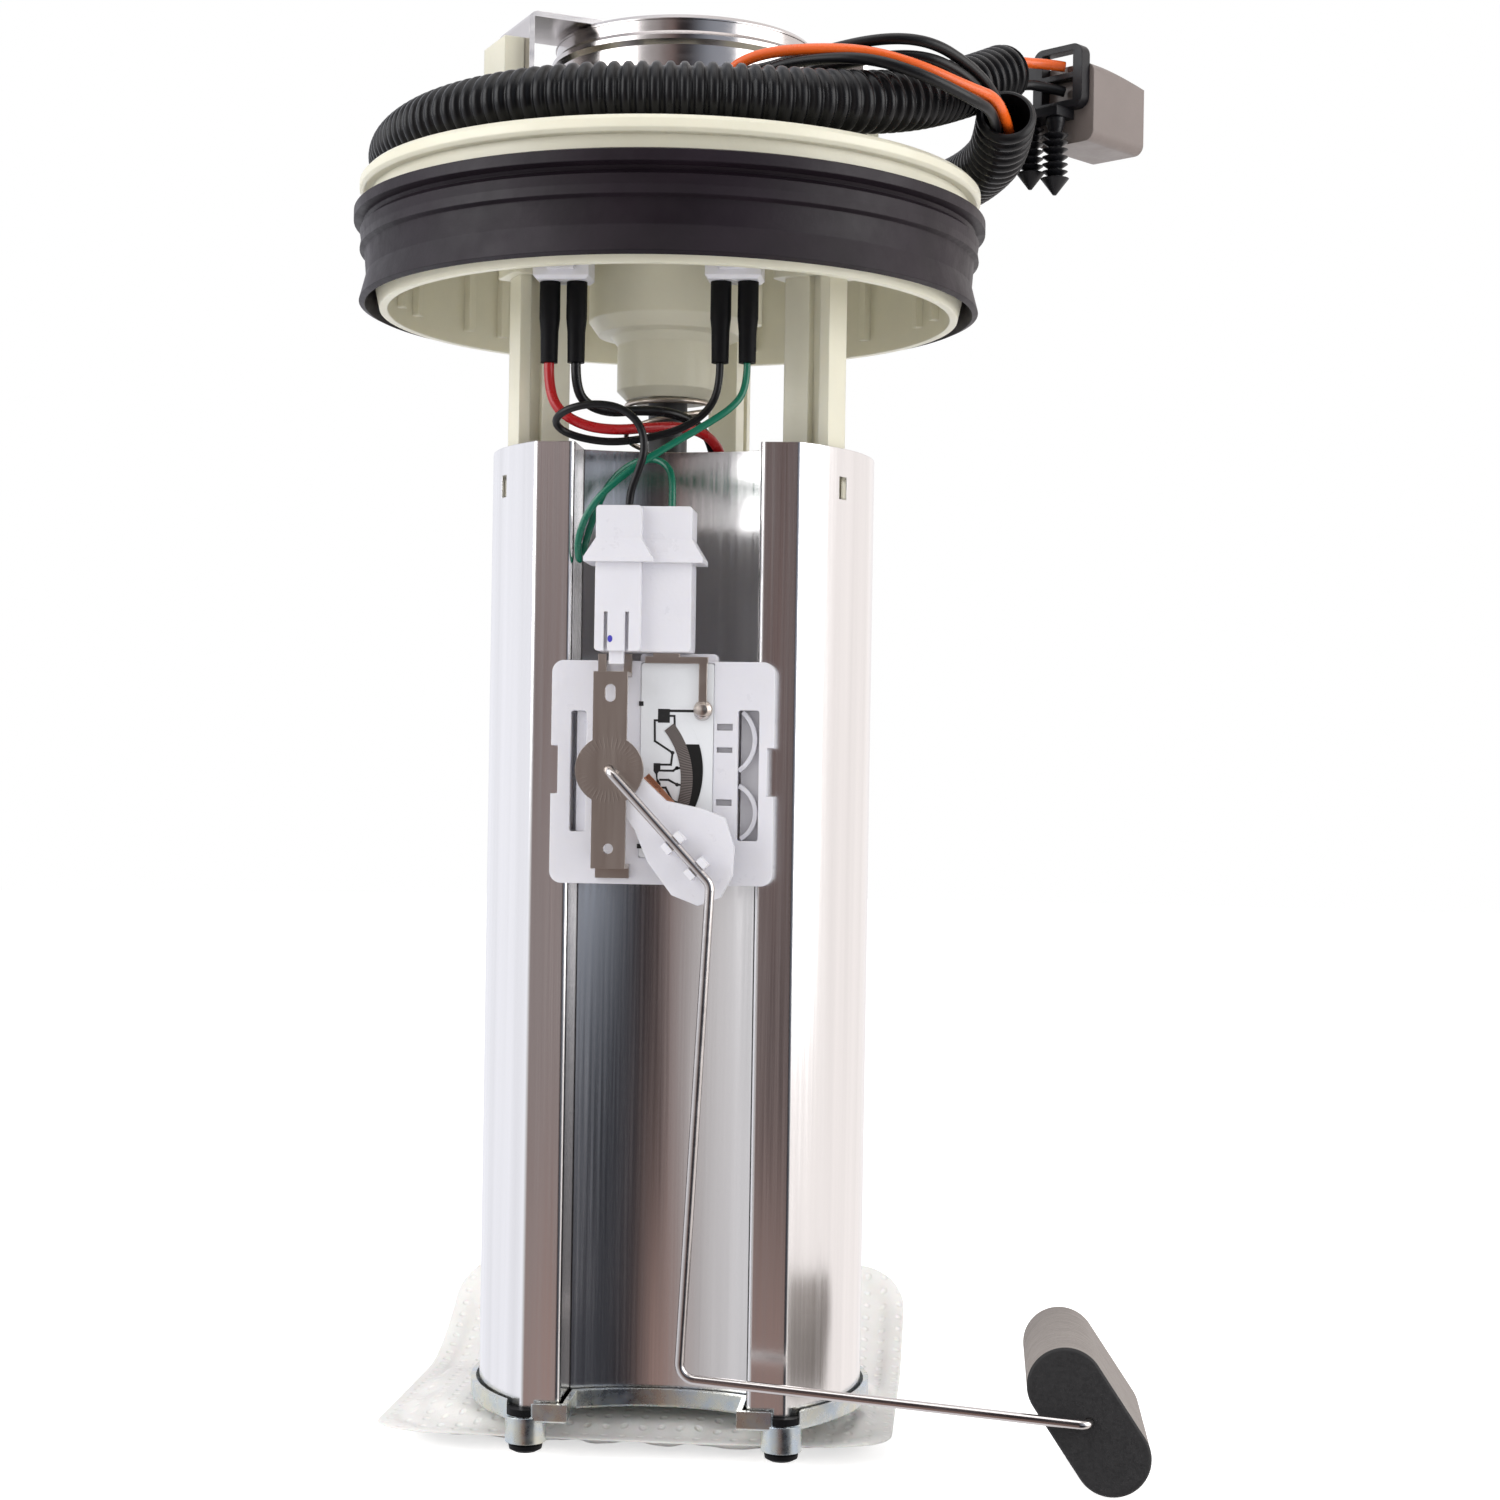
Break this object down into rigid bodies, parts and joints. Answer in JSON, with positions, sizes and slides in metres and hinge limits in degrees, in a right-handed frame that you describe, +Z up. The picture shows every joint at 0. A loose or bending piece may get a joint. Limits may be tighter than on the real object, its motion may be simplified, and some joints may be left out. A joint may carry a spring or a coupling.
{
  "type": "fuel pump module",
  "caption": "In-tank fuel pump module: sealed flange with filter and harness, sprung aluminium reservoir, level sender with float, strainer sock.",
  "frame": {"origin": "centre of the sealing face under the flange's disc", "axes": "+Z up out of the tank, -Y towards the level sender, +X to the float's side"},
  "size_m": [0.1845, 0.1647, 0.3225],
  "materials": {
    "ivory_nylon": "moulded, slightly translucent ivory nylon",
    "seal_rubber": "moulded black nitrile rubber",
    "boot_rubber": "black rubber and heat-shrink sleeve",
    "stainless_steel": "drawn and rolled stainless steel",
    "spring_steel": "pressed spring steel",
    "white_acetal": "moulded white acetal",
    "carrier_plastic": "natural nylon",
    "extruded_aluminium": "bright extruded aluminium with draw lines",
    "zinc_plated_steel": "zinc-plated pressed steel",
    "strainer_felt": "white bonded felt with an embossed dot pattern",
    "ceramic_white": "white ceramic card",
    "resistor_ink": "fired thick-film resistor ink",
    "contact_copper": "copper alloy contact",
    "float_foam": "closed-cell nitrile foam with a beige skin at its sides",
    "conduit_black": "corrugated black polyamide conduit",
    "lead_orange_pvc": "orange insulated lead",
    "lead_black_pvc": "black insulated lead",
    "lead_red_pvc": "red insulated lead",
    "lead_green_pvc": "green insulated lead",
    "connector_black": "black moulded plastic",
    "connector_grey": "light grey moulded plastic"
  },
  "bodies": {
    "flange": {"tank_flange": "ivory_nylon", "tank_seal": "seal_rubber", "filter_can": "stainless_steel", "filter_lid": "stainless_steel", "filter_stem": "stainless_steel", "filter_ring_upper": "seal_rubber", "filter_ring_lower": "seal_rubber", "fuel_supply_port": "stainless_steel", "filter_strap": "stainless_steel", "inner_plug_left": "white_acetal", "inner_plug_right": "white_acetal", "lead_sleeves": "boot_rubber", "lead_boot_left": "boot_rubber", "lead_boot_right": "boot_rubber", "guide_leg_right": "ivory_nylon", "guide_leg_rear": "ivory_nylon", "guide_leg_left": "ivory_nylon", "hold_down_spring": "spring_steel", "fuel_hose": "carrier_plastic", "lead_red": "lead_red_pvc", "lead_black_left": "lead_black_pvc", "lead_green": "lead_green_pvc", "lead_black_right": "lead_black_pvc", "harness_conduit": "conduit_black", "lead_orange": "lead_orange_pvc", "lead_black_front": "lead_black_pvc", "lead_black_middle": "lead_black_pvc", "lead_black_rear": "lead_black_pvc", "connector_lead_orange": "lead_orange_pvc", "connector_lead_black": "lead_black_pvc", "connector_retainer": "connector_black", "connector_housing": "connector_grey", "connector_blades": "contact_copper", "clip_bracket": "connector_black", "fir_tree_clips": "connector_black"},
    "reservoir": {"reservoir_shell": "extruded_aluminium", "bottom_pan": "zinc_plated_steel", "isolator_plugs": "boot_rubber", "pump_carrier": "carrier_plastic", "pump_body": "zinc_plated_steel", "pump_outlet_cap": "carrier_plastic", "pump_inlet_cap": "carrier_plastic", "pump_sleeve": "seal_rubber", "strainer_neck": "carrier_plastic", "strainer_sock": "strainer_felt", "sender_base": "white_acetal", "resistor_card": "ceramic_white", "resistor_track": "resistor_ink", "sender_terminals": "spring_steel", "pivot_bridge": "spring_steel", "sender_plug": "white_acetal"},
    "float_arm": {"wiper_carrier": "white_acetal", "wiper_contact": "contact_copper", "float_arm_wire": "stainless_steel", "float_retainer": "spring_steel"},
    "float": {"float": "float_foam"}
  },
  "joints": [
    {"name": "reservoir_slide", "type": "slide", "parent": "flange", "child": "reservoir", "axis": [0, 0, 1], "range_m": [0, 0.015], "stiffness_N_per_m": 300, "springref_m": -0.03, "deforming": ["hold_down_spring", "fuel_hose", "lead_red", "lead_black_left", "lead_green", "lead_black_right"]},
    {"name": "float_arm_swing", "type": "hinge", "parent": "reservoir", "child": "float_arm", "pos_m": [-0.006, -0.04, -0.1308], "axis": [0, -1, 0], "range_deg": [0, 70]},
    {"name": "float_swivel", "type": "hinge", "parent": "float_arm", "child": "float", "pos_m": [0.0985, -0.0225, -0.2673], "axis": [0, 1, 0], "continuous": true}
  ]
}
